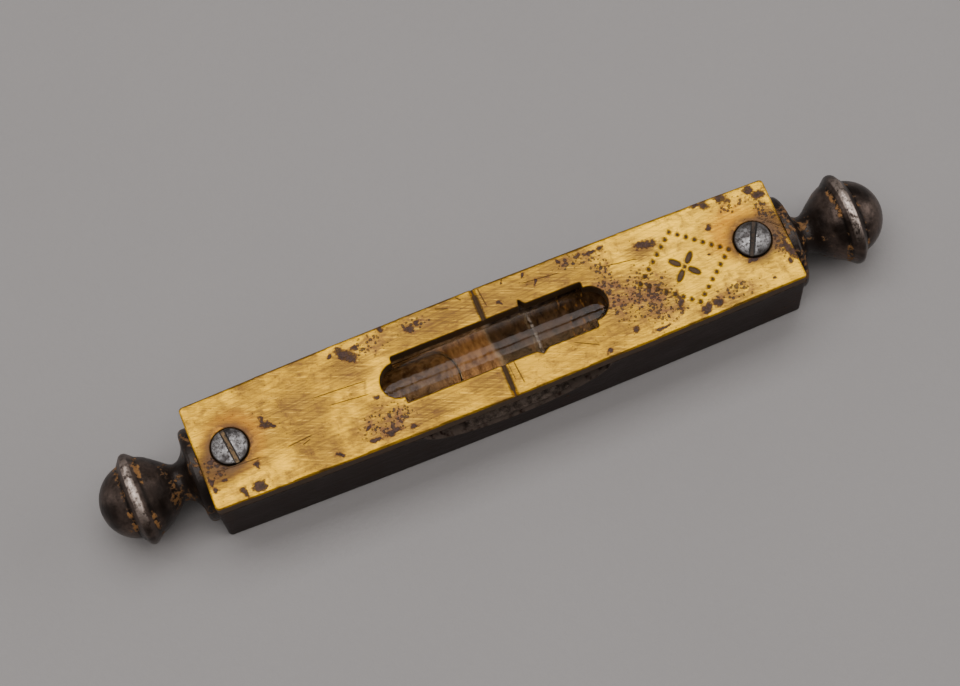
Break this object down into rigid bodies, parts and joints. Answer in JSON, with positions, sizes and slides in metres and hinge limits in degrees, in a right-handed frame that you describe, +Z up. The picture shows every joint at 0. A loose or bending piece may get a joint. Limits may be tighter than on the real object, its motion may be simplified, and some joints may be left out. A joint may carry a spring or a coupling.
{
  "type": "pocket spirit level",
  "caption": "Small iron pocket spirit level with a brass top plate, a windowed glass vial with a moving bubble, and turned end finials.",
  "frame": {"origin": "middle of the flat base, under the middle of the bar", "axes": "+X along the level towards its right finial, +Y across it, +Z up out of the top plate"},
  "size_m": [0.0888, 0.0128, 0.0112],
  "materials": {
    "japanned_iron": "worn brown-black japan over cast iron",
    "plate_brass": "worn, lightly scratched and stained brass",
    "screw_steel": "grey pitted steel",
    "rusted_iron": "turned iron, browned, with rust in the grooves",
    "plaster": "dirty matt plaster",
    "vial_glass": "clear drawn glass tube",
    "spirit": "clear spirit",
    "bubble_air": "air"
  },
  "bodies": {
    "level": {"body": "japanned_iron", "top_plate": "plate_brass", "plate_screw_left": "screw_steel", "plate_screw_right": "screw_steel", "finial_left": "rusted_iron", "finial_right": "rusted_iron", "plaster_bed": "plaster", "vial_glass": "vial_glass", "vial_spirit": "spirit"},
    "bubble": {"bubble": "bubble_air"}
  },
  "joints": [
    {"name": "bubble_slide", "type": "slide", "parent": "level", "child": "bubble", "axis": [1, 0, 0], "range_m": [-0.0018, 0.021], "deforming": ["vial_spirit"]}
  ]
}
